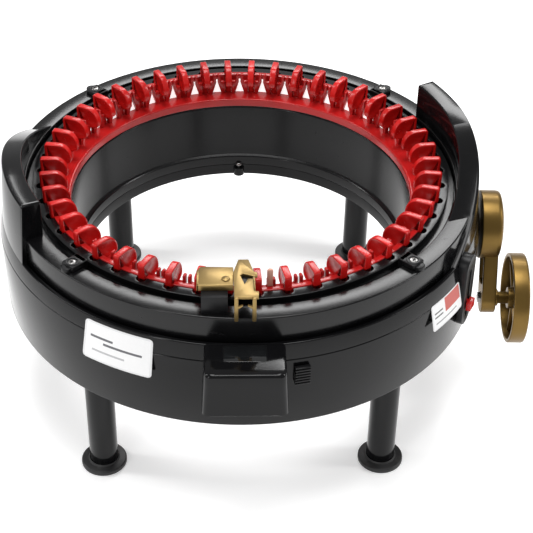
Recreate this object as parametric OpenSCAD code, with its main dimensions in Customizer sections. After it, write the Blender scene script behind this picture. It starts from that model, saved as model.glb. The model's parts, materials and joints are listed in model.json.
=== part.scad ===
// Round hand-cranked knitting machine: fixed body on four legs, a turning ring of
// hooked needles driven by a crank through a crown wheel and pinion, a yarn guide,
// a row counter and a selector lever.
// Millimetres. Z up, floor at z = 0, ring axis on the Z axis, crank axis along +X.

/* [Body] */
// Outer radius of the body at the seam between its two shells
body_r = 154.5; // [150:0.5:160]
// Outer radius of the lower shell at its bottom edge
body_foot_r = 153.8; // [148:0.1:160]
// Outer radius at the upper rim
rim_r = 152.2; // [148:0.1:158]
// Height of the bottom edge of the lower shell
body_z = 72; // [60:1:90]
// Height of the seam
seam_z = 103.5; // [95:0.5:110]
// Height of the open rim
rim_z = 131.5; // [126:0.5:136]
// Shell wall thickness
wall = 2.5; // [2:0.1:3.5]
// Height of the flat top cover
cover_z = 148; // [140:1:156]

/* [Guards] */
// Height of the two high guards
guard_z = 172; // [155:1:185]
// Angle of the tall end of the right guard
guard_end_deg = 29.6; // [20:0.1:40]
// Angle where the flat top of the guard starts to fall
guard_fall_deg = 16.5; // [5:0.5:25]
// Radius of the falling curve
guard_fall_r = 177; // [150:1:200]

/* [Legs] */
// Leg position along X
leg_x = 88; // [70:0.5:100]
// Leg position along Y
leg_y = 109; // [90:0.5:120]
// Leg radius
leg_r = 8.9; // [6:0.1:12]
// Radius of the foot pad
foot_r = 14.3; // [10:0.1:20]

/* [Needle ring] */
// Number of needles
needle_count = 46; // [46:1:46]
// Angle of the first needle
needle_start_deg = 179.72; // [179:0.01:180]
// Height of the needle tops
needle_top_z = 158.5; // [156:0.5:160]
// Needle thickness
needle_w = 4.1; // [3:0.1:5]
// Height of the top of the black turning ring
ring_z = 149; // [148:0.1:150]
// Outer radius of the black turning ring
ring_r = 131.8; // [129:0.1:133]
// Inner radius of the red comb ring
comb_r = 108.6; // [104:0.1:112]

/* [Crank] */
// Height of the crank axis
crank_z = 111; // [108:0.5:114]
// Crank arm length, axis to axis
crank_len = 49; // [40:0.5:55]
// Angle of the arm forward of straight down
crank_deg = 25; // [0:1:90]
// Direction of the crank axis seen from above, from the X axis
crank_side_deg = -2.5; // [-5:0.1:5]
// Radius of the crank hub
hub_r = 22.3; // [16:0.1:24]
// Radius of the turning knob
knob_r = 29.7; // [20:0.1:32]
// Radius of the crank shaft
shaft_r = 4; // [3:0.1:5]
// Running clearance on the radius
run_gap = 0.05; // [0.02:0.01:0.1]

/* [Gears] */
// Teeth on the crown wheel
crown_teeth = 90; // [90:1:90]
// Teeth on the pinion
pinion_teeth = 12; // [12:1:12]
// Pitch radius of the crown wheel
crown_pitch_r = 128; // [126:0.5:130]
// Pressure angle of the teeth
flank_deg = 25; // [20:1:30]

/* [Selector and counter] */
// Angle of the selector plate
selector_deg = -28.5; // [-35:0.5:-22]
// Height of the selector lever
lever_z = 100; // [95:1:110]
// Half width of the counter housing at the top
pod_half = 24.5; // [20:0.5:28]

/* [Hidden] */
$fn = 96;
pitch_deg = 360 / needle_count;
// Needles that slide on their own, the three nearest the yarn guide
own_needles = [32, 33, 34];
clip_degs = [45, 135, 225, 315];
shell_screw_degs = [22, 90, 158, 202, 255, 338];
inner_screw_degs = [0, 90, 180, 270];
pinion_pitch_r = crown_pitch_r * pinion_teeth / crown_teeth;
pitch_z = crank_z + pinion_pitch_r;
tooth_pitch = 2 * PI * crown_pitch_r / crown_teeth;
tooth_w = 0.40 * tooth_pitch;
gear_in = 124.5;
gear_out = 131.5;
arm_y = -crank_len * sin(crank_deg);
arm_z = crank_z - crank_len * cos(crank_deg);

// Helpers

module ring(points) rotate_extrude() polygon(points);

module arc(points, from, to) rotate([0, 0, from]) rotate_extrude(angle = to - from)
  polygon(points);

module around(degs, r = 0) for (a = degs) rotate([0, 0, a]) translate([r, 0, 0]) children();

// Cylinder along +X from x0 to x1
// Turned to the direction of the crank axis, at its height
module at_crank() rotate([0, 0, crank_side_deg]) translate([0, 0, crank_z]) children();

module along(x0, x1, r) translate([x0, 0, 0]) rotate([0, 90, 0]) cylinder(h = x1 - x0, r = r);

// Outside of the body as one solid of revolution, grown by g
module body_solid(g = 0) rotate_extrude($fn = 360)
  polygon([[0, body_z - 5], [body_foot_r + g, body_z - 5], [body_foot_r + g, body_z],
    [body_r + g, seam_z], [rim_r + g, rim_z], [149 + g, guard_z + 5], [0, guard_z + 5]]);

// Pan-head screw, head bottom at z = 0, shank downward
module screw(head_r, head_h, shank_r, shank_l) difference() {
  union() {
    cylinder(h = head_h, r1 = head_r, r2 = head_r * 0.82);
    translate([0, 0, -shank_l]) cylinder(h = shank_l + 0.01, r = shank_r);
  }
  for (a = [0, 90]) rotate([0, 0, a]) translate([-head_r * 0.6, -head_r * 0.14, head_h * 0.45])
    cube([head_r * 1.2, head_r * 0.28, head_h]);
}

// Body

module lower_shell() color([0.03, 0.03, 0.035]) difference() {
  union() {
    ring([[body_foot_r - wall, body_z], [body_foot_r - 0.6, body_z], [body_foot_r, body_z + 0.6],
      [body_r - 0.05, seam_z - 0.7], [body_r - 0.5, seam_z], [body_r - wall, seam_z]]);
    ring([[105.3, 77], [body_foot_r - 1, 77], [body_foot_r - 1, 79.5], [107.5, 79.5],
      [107.5, 85], [105.3, 85]]);
    around(inner_screw_degs, 105.2) translate([0, 0, 77]) cylinder(h = 6, r = 3.9);
    around(shell_screw_degs, 146) translate([0, 0, 77]) cylinder(h = 26.5, r = 4.5);
    for (x = [-1, 1], y = [-1, 1]) translate([x * leg_x, y * leg_y, 77])
      cylinder(h = 14, r = 9.8);
    rotate([0, 0, crank_side_deg]) translate([133.5, -14, 79])
      cube([4.5, 28, crank_z + 10 - 79]);
  }
  around(inner_screw_degs, 105.2) translate([0, 0, 78]) cylinder(h = 8, r = 1.3);
  around(inner_screw_degs, 105.2) translate([0, 0, 83]) cylinder(h = 8, r = 4.2);
  around(shell_screw_degs, 146) {
    translate([0, 0, 70]) cylinder(h = 40, r = 1.7);
    translate([0, 0, 70]) cylinder(h = 9.5, r = 3.4);
  }
  for (x = [-1, 1], y = [-1, 1]) translate([x * leg_x, y * leg_y, 76])
    cylinder(h = 13, r = 7.5);
  at_crank() along(130, 142, 6);
}

module guard_space(cut, from, to) difference() {
  intersection() {
    arc([[137 + cut, cover_z - cut], [148.6 - cut, cover_z - cut], [149.8, rim_z - 6],
      [rim_r + 0.48 - cut, rim_z - 6], [rim_r - cut, rim_z],
      [149 - cut, guard_z + 1], [137 + cut, guard_z + 1]], from, to);
    rotate([0, 0, guard_fall_deg]) union() {
      translate([120, 0, -5]) along(0, 50, guard_fall_r - cut);
      translate([120, 0, 100]) cube([50, 60, guard_z - cut - 100]);
    }
  }
}

module guard() difference() {
  guard_space(0, -37, guard_end_deg);
  intersection() {
    guard_space(2.3, -16, guard_end_deg - 0.9);
    translate([100, -100, cover_z - 5]) cube([60, 200, 50]);
  }
}

module upper_shell() color([0.03, 0.03, 0.035]) difference() {
  union() {
    ring([[body_r - wall, seam_z], [body_r - 0.5, seam_z], [body_r, seam_z + 0.6],
      [rim_r, rim_z - 0.8], [rim_r - 0.7, rim_z], [149.9, rim_z], [149.3, rim_z - 0.8],
      [149.3, 125.5], [140, 125.5], [140, 123.3], [150.1, 123.3]]);
    ring([[body_r - wall - 1.6, seam_z - 3], [body_r - wall - 0.1, seam_z - 3],
      [body_r - wall - 0.1, seam_z], [body_r - wall + 0.5, seam_z + 2],
      [body_r - wall - 1.6, seam_z + 2]]);
    for (a = [0, 180]) rotate([0, 0, a]) guard();
    rotate([0, 0, -157.5]) translate([143, 0, 150]) cylinder(h = 21, r = 3.4);
    around(shell_screw_degs, 146) translate([0, 0, seam_z]) cylinder(h = 20.5, r = 4.5);
    at_crank() along(146.5, 152.5, 9.5);
  }
  around(shell_screw_degs, 146) {
    translate([0, 0, seam_z - 4]) cylinder(h = 4, r = 4.8);
    translate([0, 0, seam_z - 4]) cylinder(h = 16, r = 1.3);
  }
  at_crank() along(140, 160, 6);
  // Window and rim notch for the counter housing
  translate([-pod_half - 0.1, -160, 129.9]) cube([2 * pod_half + 0.2, 11.4, 10]);
  translate([-16, -160, 108]) cube([32, 14, 14]);
  // Slot behind the counter slider and its catch
  rotate([0, 0, -77.8]) translate([146, -1.6, 105]) cube([14, 3.2, 11.5]);
  rotate([0, 0, -79]) translate([150.6, -2.6, 121]) cube([14, 5.2, 9]);
  // Yarn mast socket in the left guard
  rotate([0, 0, -157.5]) translate([143, 0, guard_z - 20]) cylinder(h = 40, r = 1.5);
}

module top_cover() color([0.035, 0.035, 0.04]) difference() {
  ring([[146.2, 125.5], [148.2, 125.5], [148.2, cover_z - 1], [147.5, cover_z - 0.3],
    [147, cover_z], [136.9, cover_z], [136.5, cover_z - 0.4], [136.5, 141.2], [132.6, 141.2],
    [132.6, 139], [138.7, 139], [138.7, 145.8], [146.2, 145.8]]);
  around(clip_degs, 140.6) translate([0, 0, 130]) cylinder(h = 20, r = 1.3);
  // Start line across the cover
  rotate([0, 0, -83.8]) translate([136, -0.35, cover_z - 0.3]) cube([3.2, 0.7, 1]);
}

module inner_tube() color([0.03, 0.03, 0.035]) difference() {
  union() {
    ring([[105.3, 85.05], [110.6, 85.05], [110.6, 91.5], [116, 91.5], [116, 94.5],
      [110.7, 94.5], [110.7, 131], [109, 131], [108.5, 130.5], [107.6, 92.6], [105.9, 92],
      [105.3, 91.4]]);
    around(inner_screw_degs, 105.2) translate([0, 0, 83.05]) cylinder(h = 2.05, r = 3.9);
  }
  around(inner_screw_degs, 105.2) translate([0, 0, 80]) cylinder(h = 10, r = 1.7);
  around(inner_screw_degs, 105.2) translate([0, 0, 85.1]) cylinder(h = 14, r = 3.5);
}

module cam_ring() color([0.75, 0.75, 0.72])
  ring([[110.8, 94.5], [118.4, 94.5], [118.4, 97.3], [113.2, 97.3], [113.2, 108.7],
    [118.4, 108.7], [118.4, 111.5], [110.8, 111.5]]);

module leg() color([0.03, 0.03, 0.035]) difference() {
  union() {
    translate([0, 0, 3]) cylinder(h = 74, r = leg_r);
    translate([0, 0, 77]) cylinder(h = 11.8, r = 7.45);
  }
  translate([0, 0, -1]) cylinder(h = 13, r = 5);
}

module foot() color([0.02, 0.02, 0.02])
  ring([[0, 1.2], [6, 1.2], [10.5, 0], [foot_r - 0.8, 0], [foot_r, 0.8], [foot_r, 2.4],
    [foot_r - 0.8, 3.4], [leg_r + 0.9, 3.9], [leg_r + 0.1, 5.2], [leg_r + 0.1, 3],
    [5, 3], [5, 11.5], [0, 11.5]]);

module at_leg(x, y) translate([x * leg_x, y * leg_y, 0]) children();
module leg_front_left() at_leg(-1, -1) leg();
module leg_front_right() at_leg(1, -1) leg();
module leg_back_left() at_leg(-1, 1) leg();
module leg_back_right() at_leg(1, 1) leg();
module foot_front_left() at_leg(-1, -1) foot();
module foot_front_right() at_leg(1, -1) foot();
module foot_back_left() at_leg(-1, 1) foot();
module foot_back_right() at_leg(1, 1) foot();

module inner_screws() color([0.8, 0.8, 0.8]) around(inner_screw_degs, 105.2)
  translate([0, 0, 85.1]) screw(2.3, 1.6, 1.2, 7);

module shell_screws() color([0.8, 0.8, 0.8]) around(shell_screw_degs, 146)
  translate([0, 0, 79.5]) mirror([0, 0, 1]) screw(3.2, 2, 1.25, 34);

module clip() {
  difference() {
    union() {
      translate([132.6, -4.8, cover_z]) cube([12, 9.6, 3.4]);
      translate([132.6, -4.8, 144.9]) cube([3.6, 9.6, 4]);
      translate([144.6, 0, cover_z]) cylinder(h = 2.4, r = 3.4);
    }
    translate([140.6, 0, 140]) cylinder(h = 20, r = 1.6);
    translate([140.6, 0, cover_z + 2.2]) cylinder(h = 20, r = 2.9);
  }
}

module ring_clips() color([0.03, 0.03, 0.03]) around(clip_degs) clip();

module clip_screws() color([0.8, 0.8, 0.8]) around(clip_degs, 140.6)
  translate([0, 0, cover_z + 2.2]) screw(2.7, 1.9, 1.25, 8);

module bush(x0, x1) color([0.75, 0.6, 0.3]) at_crank() difference() {
  along(x0, x1, 6);
  along(x0 - 1, x1 + 1, shaft_r + run_gap);
}
module outer_bush() bush(146.5, 154.1);
module inner_bush() bush(133.5, 138);

// Turning ring

// Slots for the needle stems, one per needle
module needle_slots(r0, r1, w, z0, z1) for (i = [0:needle_count - 1])
  rotate([0, 0, needle_start_deg - i * pitch_deg]) translate([r0, -w / 2, z0])
    cube([r1 - r0, w, z1 - z0]);

module needle_ring() color([0.04, 0.04, 0.045]) difference() {
  ring([[125.3, 135.2], [131.8, 135.2], [ring_r, 141.6], [135.6, 141.6], [135.6, 144.4],
    [ring_r, 144.4], [ring_r, ring_z - 0.5], [ring_r - 0.5, ring_z], [125.3, ring_z]]);
  for (i = [0:needle_count - 1]) rotate([0, 0, needle_start_deg - i * pitch_deg]) {
    translate([124, -2.3, 134]) cube([3.6, 4.6, 20]);
    translate([126.3, 0, ring_z - 3]) cylinder(h = 5, r = 3.25);
  }
  rotate([0, 0, -83.2]) translate([125, -0.35, ring_z - 0.3]) cube([3.5, 0.7, 1]);
}

// Two pegs standing between neighbouring needles, apart by a slot that widens at the foot
module peg_pair() translate([116.5, 0, 0]) rotate([90, 0, 90]) linear_extrude(3) {
  for (s = [0, 1]) mirror([s, 0, 0]) {
    polygon([[0.5, 146.2], [0.6, 151.5], [2.55, 151.5], [2.55, 146.8], [5.6, 146.8], [5.6, 137],
      [3.3, 137]]);
    translate([1.575, 151.5]) circle(r = 0.975);
  }
}

module comb_ring() color([0.78, 0.06, 0.07]) {
  difference() {
    union() {
      ring([[comb_r, 131.6], [110.4, 131.6], [110.8, 135.4], [125.3, 135.4],
        [125.3, ring_z + 0.3], [125, ring_z + 0.6], [122, ring_z + 0.6], [121.8, ring_z + 0.3],
        [121.8, 137.2], [109.6, 137.2], [108.9, 136.9], [comb_r, 136.2]]);
      for (i = [0:needle_count - 1])
        rotate([0, 0, needle_start_deg - (i + 0.5) * pitch_deg]) peg_pair();
    }
    needle_slots(119.1, 126, 4.5, 130, 155);
    for (i = [0:needle_count - 1]) rotate([0, 0, needle_start_deg - (i + 0.5) * pitch_deg])
      translate([119.6, -4.1, 134]) cube([1.9, 8.2, 6]);
  }
}

module stitch_ring() color([0.95, 0.95, 0.93]) {
  difference() {
    ring([[112, 133.6], [121.4, 133.6], [121.4, 135.3], [112, 135.3]]);
    needle_slots(118.9, 126, 4.6, 130, 155);
  }
  ring([[111, 132], [118.6, 132], [118.6, 133.6], [111, 133.6]]);
  for (i = [0:needle_count - 1]) rotate([0, 0, needle_start_deg - (i + 0.5) * pitch_deg])
    translate([119.65, -4, 133.6]) cube([1.7, 8, 12.8]);
}

module crown_tooth() translate([gear_in, 0, pitch_z]) rotate([90, 0, 90])
  linear_extrude(gear_out - gear_in)
    polygon([for (p = [[-1, 3.1], [-1, -2.2], [1, -2.2], [1, 3.1]])
      [p[0] * (tooth_w / 2 + p[1] * tan(flank_deg)), p[1]]]);

module crown_gear() color([0.85, 0.84, 0.8]) {
  ring([[gear_in, pitch_z + 3], [gear_out, pitch_z + 3], [gear_out, 135.2], [gear_in, 135.2]]);
  for (i = [0:crown_teeth - 1]) rotate([0, 0, crank_side_deg + (i + 0.5) * 360 / crown_teeth])
    crown_tooth();
}

// Needle seen from the side: hook head, stem and cam butt
module needle_side() difference() {
  union() {
    polygon([[119.3, 104], [122.5, 104], [122.5, 146.8], [127, 148.6], [127, needle_top_z - 1.5],
      [125.5, needle_top_z], [117, needle_top_z], [114.2, 157.2], [111.9, 155], [110.4, 152],
      [109.8, 149], [109.9, 147.2], [111.2, 145.9], [113, 144.9], [119.3, 143.6]]);
    translate([125.5, needle_top_z - 1.5]) circle(r = 1.5);
    translate([111.4, 147.6]) circle(r = 1.6);
    polygon([[113.8, 104], [119.4, 104], [119.4, 107.6], [113.8, 107.6]]);
  }
  // Mouth of the hook
  translate([123.6, 150.2]) square([0.9, 5]);
  polygon([[123.6, 155.2], [124.5, 155.2], [127.5, 158.6], [126.6, 159.4]]);
}

module needle_at(i) rotate([0, 0, needle_start_deg - i * pitch_deg])
  translate([0, needle_w / 2, 0]) rotate([90, 0, 0]) linear_extrude(needle_w) needle_side();

module needles() color([0.86, 0.07, 0.08])
  for (i = [0:needle_count - 1]) if (len(search(i, own_needles)) == 0) needle_at(i);
module needle_a() color([0.86, 0.07, 0.08]) needle_at(own_needles[0]);
module needle_b() color([0.86, 0.07, 0.08]) needle_at(own_needles[1]);
module needle_c() color([0.86, 0.07, 0.08]) needle_at(own_needles[2]);

module start_marker() color([0.9, 0.72, 0.62]) rotate([0, 0, -82.95])
  translate([119.65, 0, 0]) rotate([90, 0, 90]) linear_extrude(1.5) {
    translate([-1.7, 146.5]) square([3.4, 12.8]);
    translate([0, 159.3]) circle(r = 1.7);
  }

// Crank

module crank_shaft() color([0.8, 0.8, 0.8]) at_crank()
  along(123.4, 167, shaft_r);

// Angle of the tooth side at radius r from the middle of a pinion tooth
function involute(a) = tan(a) * 180 / PI - a;
function tooth_half(r) = tooth_w / 2 / pinion_pitch_r * 180 / PI + involute(flank_deg)
  - involute(acos(pinion_pitch_r * cos(flank_deg) / r));
tooth_rs = [15.6, 16.4, 17.2, 18.1, 19.1];

module pinion() color([0.85, 0.84, 0.8]) at_crank() difference() {
  union() {
    along(gear_in, gear_out, 14);
    along(gear_out - 0.1, 133, 7);
    translate([gear_in, 0, 0]) rotate([90, 0, 90]) linear_extrude(gear_out - gear_in)
      for (i = [0:pinion_teeth - 1]) rotate(90 + i * 360 / pinion_teeth)
        polygon(concat([[13, -2.3]],
          [for (r = tooth_rs) [r * cos(tooth_half(r)), -r * sin(tooth_half(r))]],
          [for (k = [4:-1:0]) let (r = tooth_rs[k])
            [r * cos(tooth_half(r)), r * sin(tooth_half(r))]],
          [[13, 2.3]]));
  }
  along(120, 140, shaft_r);
}

module in_arm_frame() at_crank() rotate([-crank_deg, 0, 0]) children();

module crank_arm() color([0.45, 0.34, 0.13]) in_arm_frame() difference() {
  union() {
    rotate([0, 90, 0]) translate([0, 0, 155.2]) rotate_extrude()
      polygon([[0, 0], [hub_r - 0.8, 0], [hub_r, 0.8], [hub_r, 10.2], [hub_r - 1, 12.2],
        [hub_r - 3, 13.4], [0, 13.4]]);
    translate([158.7, -10, -crank_len]) cube([9.3, 20, crank_len]);
    translate([0, 0, -crank_len]) along(158.7, 168, 10);
  }
  along(150, 167, shaft_r);
  // Hollow back of the arm
  translate([158, -7.5, -crank_len + 9]) cube([4.5, 15, crank_len - 9 - hub_r - 1]);
  translate([0, 0, -crank_len]) along(150, 180, 3);
}

// Round badge in the middle of the hub
module arm_cap() color([0.45, 0.34, 0.13]) at_crank() rotate([0, 90, 0])
  translate([0, 0, 168.6]) rotate_extrude()
    polygon([[0, 0], [hub_r - 4.5, 0], [hub_r - 5, 0.5], [0, 0.8]]);

module at_knob() rotate([0, 0, crank_side_deg]) translate([0, arm_y, arm_z]) children();

module knob_spindle() color([0.45, 0.34, 0.13]) at_knob() difference() {
  union() {
    along(160.5, 168, 3);
    along(168, 170, 5.6);
    along(169.9, 184.4, 4);
  }
  along(155, 166, 1.2);
}

module knob_screw() color([0.8, 0.8, 0.8]) at_knob() translate([158.7, 0, 0])
  rotate([0, -90, 0]) screw(4, 1.8, 1.2, 7);

module knob() color([0.45, 0.34, 0.13]) at_knob() difference() {
  union() {
    rotate([0, 90, 0]) rotate_extrude() polygon([[0, 184.8], [knob_r - 2.6, 184.8],
      [knob_r - 2.6, 176.6], [knob_r - 0.6, 176.6], [knob_r, 177.2], [knob_r, 184.6],
      [knob_r - 0.8, 186.2], [knob_r - 2.6, 187], [0, 187]]);
    along(176.6, 185, 7);
    for (a = [0:60:300]) rotate([a, 0, 0]) translate([179.6, -0.8, 6])
      cube([5.4, 1.6, knob_r - 8]);
  }
  along(170, 184.9, shaft_r + run_gap);
}

// Counter

// Drafted block with two chamfered front corners, shrunk by s
module pod_block(s) difference() {
  translate([-40, -184 + s, 103.5 + s]) cube([80, 44, 28.5 - 2 * s]);
  for (m = [0, 1]) mirror([m, 0, 0]) {
    translate([pod_half - s, -200, 132]) rotate([0, 3, 0]) translate([0, 0, -60])
      cube([40, 90, 80]);
    translate([pod_half - s, -172, 132]) rotate([0, 0, -45]) rotate([2, 2, 0])
      translate([0, -40, -60]) cube([60, 80, 80]);
  }
  translate([-50, -178 + s, 132]) rotate([-4, 0, 0]) translate([0, -40, -60])
    cube([100, 40, 80]);
}

module counter_housing() color([0.03, 0.03, 0.035]) difference() {
  pod_block(0);
  difference() {
    pod_block(2);
    translate([-50, -154.9, 100]) cube([100, 20, 40]);
  }
  // Back follows the shell, apart from the lip that lies on the rim
  difference() {
    intersection() {
      body_solid(0.02);
      translate([-40, -160, 90]) cube([80, 30, 50]);
    }
    translate([-pod_half, -160, 130]) cube([2 * pod_half, 11.3, 5]);
  }
  translate([-40, -148.7, 90]) cube([80, 30, 50]);
  translate([-16, -156, 108]) cube([32, 14, 14]);
  // Display recess and window, battery opening
  translate([-12, -166, 131.2]) cube([24, 13.5, 2]);
  translate([-10.5, -165, 128]) cube([21, 11, 5]);
  translate([-11, -172, 100]) cube([22, 14, 6]);
}

module counter_lens() color([0.08, 0.09, 0.1])
  translate([-11.95, -165.95, 131.2]) cube([23.9, 13.4, 0.7]);

module counter_display() color([0.35, 0.4, 0.35])
  translate([-10.3, -164.8, 128.2]) cube([20.6, 9.6, 2.6]);

module counter_board() color([0.05, 0.3, 0.12]) difference() {
  union() {
    translate([-20, -172, 126.4]) cube([40, 16.6, 1.6]);
    translate([-7.5, -171.8, 124.4]) cube([15, 6, 2.2]);
  }
  for (x = [-17.5, 17.5]) translate([x, -158, 120]) cylinder(h = 10, r = 1.2);
}

module counter_battery() color([0.8, 0.8, 0.8]) translate([0, -165, 105.9])
  cylinder(h = 5.2, r = 5.8);

module battery_cover() color([0.03, 0.03, 0.035]) {
  translate([-10.95, -171.95, 103.5]) cube([21.9, 13.9, 2]);
  translate([-4, -159, 105.5]) cube([8, 2.4, 0.9]);
}

module counter_slider() color([0.05, 0.05, 0.055]) rotate([0, 0, -77.8]) {
  translate([150, -1.3, 105.6]) cube([5, 2.6, 7]);
  difference() {
    translate([154.9, -4.6, 104.2]) cube([3, 9.2, 12.4]);
    for (i = [0:5]) translate([157, -5, 105.2 + i * 2]) cube([2, 10, 0.9]);
  }
  translate([149.4, -2.6, 105.6]) cube([1.2, 5.2, 7]);
}

// Yarn guide

module guide_block() color([0.03, 0.03, 0.03]) difference() {
  union() {
    translate([-24.3, -143.5, 150.2]) cube([14.9, 14.6, 9.4]);
    translate([-24.3, -143.5, cover_z]) cube([14.9, 8.6, 4]);
  }
  translate([-10.5, -131.3, 140]) rotate([0, 0, 0]) cylinder(h = 30, r = 1);
  ring([[120, 140], [137.2, 140], [137.2, 150.2], [120, 150.2]]);
}

module yarn_guide() color([0.5, 0.38, 0.14]) {
  difference() {
    translate([0, 0, 162.6]) linear_extrude(2) difference() {
      polygon([[-3.3, -115.2], [2.5, -115.2], [5.3, -126.3], [7.3, -127.2], [7.3, -130],
        [4.3, -130.4], [4.3, -134], [7, -134.6], [5.8, -144.3], [7.8, -144.3], [7.6, -149.5],
        [-5.9, -149.4], [-6.3, -126.8]]);
      polygon([[-2.4, -129.9], [-0.5, -128.4], [2.1, -129.5], [4.5, -130.4], [4.5, -132.8],
        [1.8, -132.5], [0, -137.8]]);
    }
  }
  difference() {
    translate([0, 0, 159.6]) linear_extrude(3.4) polygon([[-6.2, -120.2], [-6.2, -137.2],
      [-26.7, -137.2], [-26.8, -123.8], [-24.8, -119.6]]);
    translate([-10.5, -131.3, 150]) cylinder(h = 30, r = 1.3);
  }
  // Prongs with barbs
  for (p = [[-5.9, -3.6, 1], [4.1, 6.4, -1]]) {
    translate([p[0], -150.9, 148]) cube([p[1] - p[0], 1.6, 16.6]);
    translate([p[2] > 0 ? p[1] : p[0], -149.3, 156.6]) mirror([p[2] > 0 ? 0 : 1, 0, 0])
      rotate([90, 0, 0]) linear_extrude(1.6)
        polygon([[-0.1, 0], [2.6, 2.4], [2.3, 3], [-0.1, 1.8]]);
    translate([p[0], -149.4, 162.6]) cube([p[1] - p[0], 0.4, 2]);
  }
}

module guide_rivet() color([0.5, 0.38, 0.14]) translate([-10.5, -131.3, 163])
  difference() {
    union() {
      cylinder(h = 1.2, r1 = 2.4, r2 = 1.7);
      translate([0, 0, -11]) cylinder(h = 11.1, r = 1);
    }
  }

// Selector

// Upright plate with round ends, from x0 to x1 in the selector's own frame
module stadium(x0, x1, half, z0, z1) {
  translate([x0, -half, z0 + half]) cube([x1 - x0, 2 * half, z1 - z0 - 2 * half]);
  for (z = [z0 + half, z1 - half]) translate([0, 0, z]) along(x0, x1, half);
}

module selector_plate() color([0.03, 0.03, 0.035]) rotate([0, 0, selector_deg]) difference() {
  stadium(150, 158.4, 7.5, 84.5, 136);
  body_solid(0.02);
  stadium(157, 160, 1.7, 90, 126);
  stadium(150, 157.2, 5.4, 86.5, 129.5);
}

module selector_lever() color([0.8, 0.08, 0.08]) rotate([0, 0, selector_deg]) {
  translate([155.2, -4.6, lever_z - 3]) cube([1.7, 9.2, 6]);
  translate([155.2, -1.4, lever_z - 2.5]) cube([4.6, 2.8, 5]);
  translate([158.8, -3.8, lever_z - 3]) cube([3, 7.6, 6]);
}

// Labels

module front_label() color([0.93, 0.93, 0.93])
  arc([[body_r - 0.03 - 0.04, seam_z + 1.4], [body_r + 0.25, seam_z + 1.4],
    [rim_r + 0.45, rim_z - 2.4], [rim_r + 0.15, rim_z - 2.4]], -126.5, -109.7);

module rating_label() color([0.93, 0.93, 0.93])
  arc([[body_r + 0.03, seam_z + 1.4], [body_r + 0.25, seam_z + 1.4], [153.25, 122],
    [153.02, 122]], -44, -32);

lower_shell();
upper_shell();
top_cover();
inner_tube();
cam_ring();
leg_front_left();
leg_front_right();
leg_back_left();
leg_back_right();
foot_front_left();
foot_front_right();
foot_back_left();
foot_back_right();
inner_screws();
shell_screws();
ring_clips();
clip_screws();
outer_bush();
inner_bush();
counter_housing();
counter_lens();
counter_board();
counter_display();
counter_battery();
battery_cover();
guide_block();
yarn_guide();
guide_rivet();
selector_plate();
front_label();
rating_label();
needle_ring();
comb_ring();
stitch_ring();
crown_gear();
needles();
start_marker();
needle_a();
needle_b();
needle_c();
crank_shaft();
pinion();
crank_arm();
arm_cap();
knob_spindle();
knob_screw();
knob();
counter_slider();
selector_lever();
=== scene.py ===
"""Round hand-cranked knitting machine: meshes, finishes, studio and camera."""

import json
import math

import bmesh
import bpy
from bpy.props import FloatProperty, FloatVectorProperty, IntProperty, PointerProperty
from mathutils import Matrix, Vector


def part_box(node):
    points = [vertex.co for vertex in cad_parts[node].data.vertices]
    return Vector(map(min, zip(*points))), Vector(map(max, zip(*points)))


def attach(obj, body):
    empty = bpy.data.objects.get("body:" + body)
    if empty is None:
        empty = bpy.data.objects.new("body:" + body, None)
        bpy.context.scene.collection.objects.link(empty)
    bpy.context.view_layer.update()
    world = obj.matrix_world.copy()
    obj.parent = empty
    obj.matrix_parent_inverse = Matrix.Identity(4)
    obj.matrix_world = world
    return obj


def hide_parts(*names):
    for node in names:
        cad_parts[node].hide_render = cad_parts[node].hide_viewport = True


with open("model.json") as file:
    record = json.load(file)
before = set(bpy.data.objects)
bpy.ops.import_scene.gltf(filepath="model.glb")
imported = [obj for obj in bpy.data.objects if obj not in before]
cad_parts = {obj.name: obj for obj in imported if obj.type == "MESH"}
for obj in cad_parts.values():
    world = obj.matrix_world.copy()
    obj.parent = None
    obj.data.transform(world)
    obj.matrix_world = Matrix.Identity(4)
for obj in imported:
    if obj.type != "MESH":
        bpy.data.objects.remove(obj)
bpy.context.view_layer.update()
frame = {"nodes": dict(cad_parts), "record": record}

bl_info = {
    "name": "Round Knitting Machine",
    "version": (1, 0, 0),
    "blender": (4, 5, 0),
    "location": "View3D > Sidebar > Knitting",
    "description": "Builds the visible pieces and finishes of a hand-cranked knitting machine",
    "category": "Object",
}

MM = 0.001


def low(node, axis):
    """Lowest coordinate of a CAD node along an axis, in mm."""
    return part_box(node)[0][axis] / MM


def high(node, axis):
    """Highest coordinate of a CAD node along an axis, in mm."""
    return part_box(node)[1][axis] / MM


COVER_Z = high("top_cover", 2)
RIM_Z = high("counter_housing", 2) - 0.5
SEAM_Z = high("lower_shell", 2)
GUARD_Z = high("upper_shell", 2)
RING_Z = COVER_Z + 1
JOINTS = {joint["name"]: joint for joint in frame["record"]["behaviour"]["joints"]}
CRANK_Z = JOINTS["crank_turn"]["pos_m"][2] / MM
CRANK_SIDE = math.degrees(math.atan2(*JOINTS["crank_turn"]["axis"][1::-1]))
KNOB = Matrix.Rotation(-math.radians(CRANK_SIDE), 4, "Z") @ Vector(
    JOINTS["knob_spin"]["pos_m"]) / MM
ARM = math.hypot(KNOB.y, CRANK_Z - KNOB.z)
ARM_TURN = math.degrees(math.atan2(-KNOB.y, CRANK_Z - KNOB.z))


# Settings


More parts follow.
